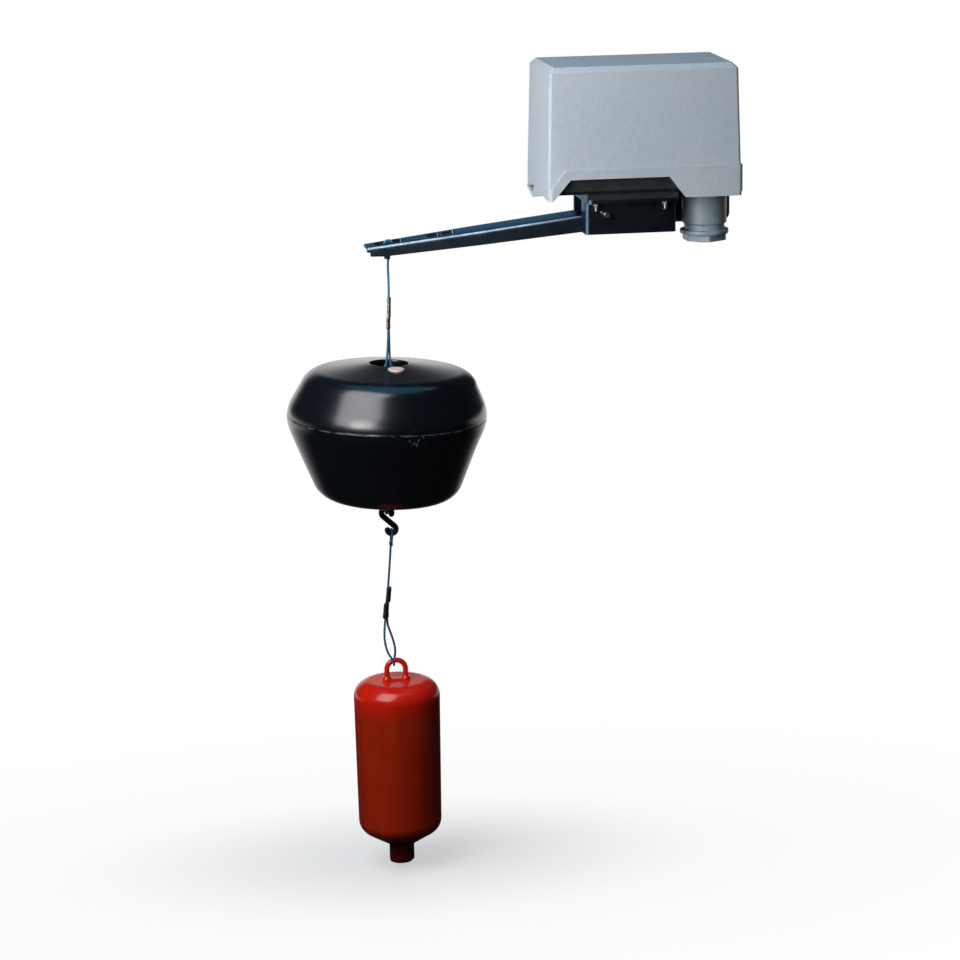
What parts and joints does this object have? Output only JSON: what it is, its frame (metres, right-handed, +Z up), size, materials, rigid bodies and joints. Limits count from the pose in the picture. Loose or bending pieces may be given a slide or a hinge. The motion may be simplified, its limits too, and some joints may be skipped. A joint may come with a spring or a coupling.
{
  "type": "level controller",
  "caption": "Level controller: grey switch case on a bracket, with a lever that carries a float and a weight on ropes.",
  "frame": {"origin": "middle of the two mounting holes, on the rear face of the bracket's ear", "axes": "+Z up, -X towards the lever's tip, -Y towards the front of the case"},
  "size_m": [0.2474, 0.1084, 0.4432],
  "materials": {
    "cover_grey": "fine moulded texture",
    "base_black": "satin",
    "gasket_rubber": "matte",
    "black_steel": "semi-gloss",
    "lever_blue": "semi-gloss",
    "zinc_steel": "satin",
    "spring_steel": "satin",
    "brass": "satin",
    "switch_brown": "satin",
    "tappet_white": "satin",
    "gland_grey": "satin",
    "rope_blue": "twisted cord",
    "ferrule_dark": "satin",
    "float_black": "glossy",
    "plug_pink": "satin",
    "hook_black": "semi-gloss",
    "weight_red": "glossy",
    "ballast": "raw",
    "stopper_red": "glossy"
  },
  "bodies": {
    "housing": {"cover": "cover_grey", "cover_gasket": "gasket_rubber", "cover_screw": "zinc_steel", "base_tray": "base_black", "bracket": "black_steel", "bracket_screws": "zinc_steel", "bracket_nuts": "black_steel", "pivot_pin": "zinc_steel", "split_pin": "zinc_steel", "pivot_spacer": "zinc_steel", "pivot_washer": "zinc_steel", "switch_block": "switch_brown", "switch_screws": "zinc_steel", "terminal_clamps": "brass", "terminal_screws": "brass", "spring_yoke": "zinc_steel", "yoke_screws": "zinc_steel", "adjusting_screw": "brass", "spring_top_seat": "brass", "main_spring": "spring_steel", "earth_plate": "brass", "earth_screw": "brass", "gland_washer": "gasket_rubber", "gland_body": "gland_grey", "gland_locknut": "gland_grey", "gland_seal": "gasket_rubber", "gland_nut": "gland_grey"},
    "lever": {"lever_arm": "lever_blue", "pivot_bushes": "brass"},
    "tappet": {"switch_tappet": "tappet_white"},
    "spring_seat": {"spring_bottom_seat": "brass"},
    "upper_line": {"upper_rope": "rope_blue", "upper_ferrule": "ferrule_dark", "upper_winding": "rope_blue"},
    "float": {"float_top_half": "float_black", "float_bottom_half": "float_black", "float_plug": "plug_pink", "float_rod": "zinc_steel"},
    "lower_line": {"hook": "hook_black", "lower_rope": "rope_blue", "lower_ferrule": "ferrule_dark", "lower_winding": "rope_blue"},
    "weight": {"weight_body": "weight_red", "weight_fill": "ballast", "weight_stopper": "stopper_red"}
  },
  "joints": [
    {"name": "lever_pivot", "type": "hinge", "parent": "housing", "child": "lever", "pos_m": [-0.0571, -0.014, 0.0016], "axis": [0, 1, 0], "range_deg": [0, 9], "stiffness_Nm_per_rad": 1.16, "springref_deg": 20.05},
    {"name": "tappet_slide", "type": "slide", "parent": "housing", "child": "tappet", "axis": [0, 0, 1], "range_m": [-0.0015, 0]},
    {"name": "spring_seat_slide", "type": "slide", "parent": "housing", "child": "spring_seat", "axis": [0, 0, 1], "range_m": [-0.0039, 0], "deforming": ["main_spring"]},
    {"name": "upper_line_swing", "type": "hinge", "parent": "lever", "child": "upper_line", "pos_m": [-0.17176, -0.014, -0.01315], "axis": [0, 1, 0], "range_deg": [-25, 25]},
    {"name": "float_tilt", "type": "hinge", "parent": "upper_line", "child": "float", "pos_m": [-0.17306, -0.014, -0.08396], "axis": [0, 1, 0], "range_deg": [-15, 15]},
    {"name": "hook_swing", "type": "hinge", "parent": "float", "child": "lower_line", "pos_m": [-0.1755, -0.014, -0.16152], "axis": [0, 1, 0], "range_deg": [-30, 30]},
    {"name": "weight_swing", "type": "hinge", "parent": "lower_line", "child": "weight", "pos_m": [-0.17186, -0.014, -0.24535], "axis": [1, 0, 0], "range_deg": [-30, 30]}
  ],
  "couplings": [
    {"joint": "tappet_slide", "follows": "lever_pivot", "m_per_rad": -0.009115},
    {"joint": "spring_seat_slide", "follows": "lever_pivot", "m_per_rad": -0.024167}
  ]
}
